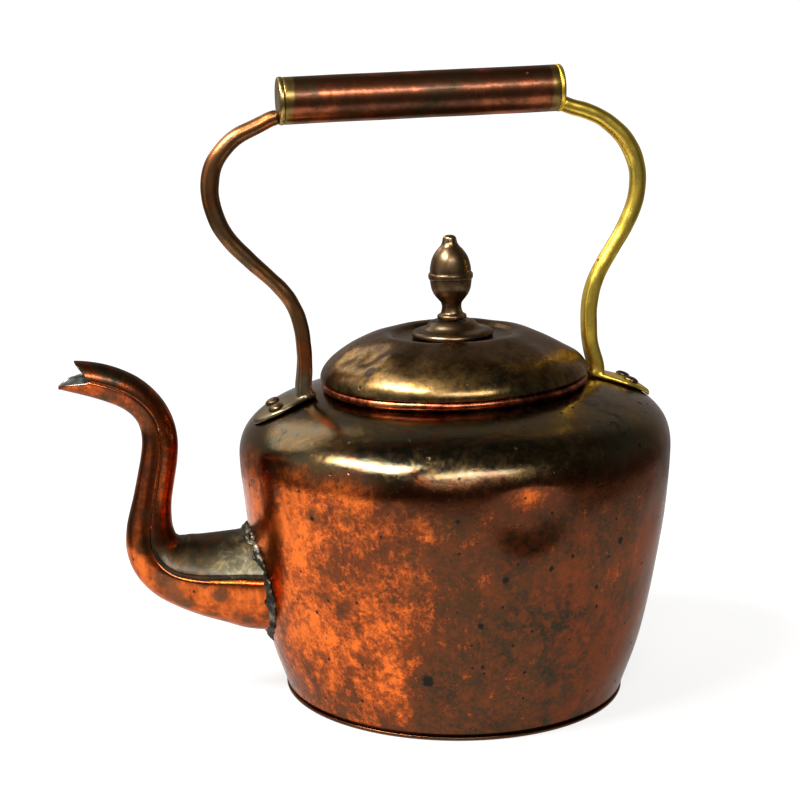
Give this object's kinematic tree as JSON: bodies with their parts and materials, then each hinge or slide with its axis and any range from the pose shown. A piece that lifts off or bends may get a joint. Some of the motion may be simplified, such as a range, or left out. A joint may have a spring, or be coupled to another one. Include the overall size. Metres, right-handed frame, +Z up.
{
  "type": "kettle",
  "caption": "Copper kettle with a swan-neck spout, a domed lift-off lid with an acorn knob, and a fixed handle on scrolled brass stays.",
  "frame": {"origin": "centre of the underside of the flat base, which stands on the table", "axes": "+Z up out of the base, -X towards the spout, and +Y across the handle; the handle stands in the XZ plane"},
  "size_m": [0.2672, 0.19, 0.2759],
  "materials": {
    "copper": "polished copper sheet worn to a mottled orange and brown, with dark pits",
    "aged_copper": "copper with a dark brown and olive patina, rubbed bright on its high spots",
    "brass": "bright cast brass with olive tarnish in the hollows",
    "aged_brass": "brown, handled brass",
    "solder": "rough, dark grey tin solder",
    "iron": "bare drawn iron wire"
  },
  "bodies": {
    "kettle": {"body_shell": "copper", "base_plate": "copper", "spout_lower_half": "copper", "mouth_ring": "copper", "spout_upper_half": "aged_copper", "grip_tube": "aged_copper", "front_rivet_1": "aged_copper", "front_rivet_2": "aged_copper", "rear_rivet_1": "aged_copper", "rear_rivet_2": "aged_copper", "front_stay": "aged_brass", "rear_stay": "brass", "front_grip_cap": "brass", "rear_grip_cap": "brass", "spout_solder": "solder", "mouth_wire": "iron"},
    "lid": {"lid_dome": "aged_copper", "lid_skirt": "copper", "knob_plate": "aged_brass", "knob": "aged_brass", "knob_rove": "copper"}
  },
  "joints": [
    {"name": "lid_lift", "type": "slide", "parent": "kettle", "child": "lid", "axis": [-0.0767, 0, 0.9971], "range_m": [0, 0.046]}
  ]
}
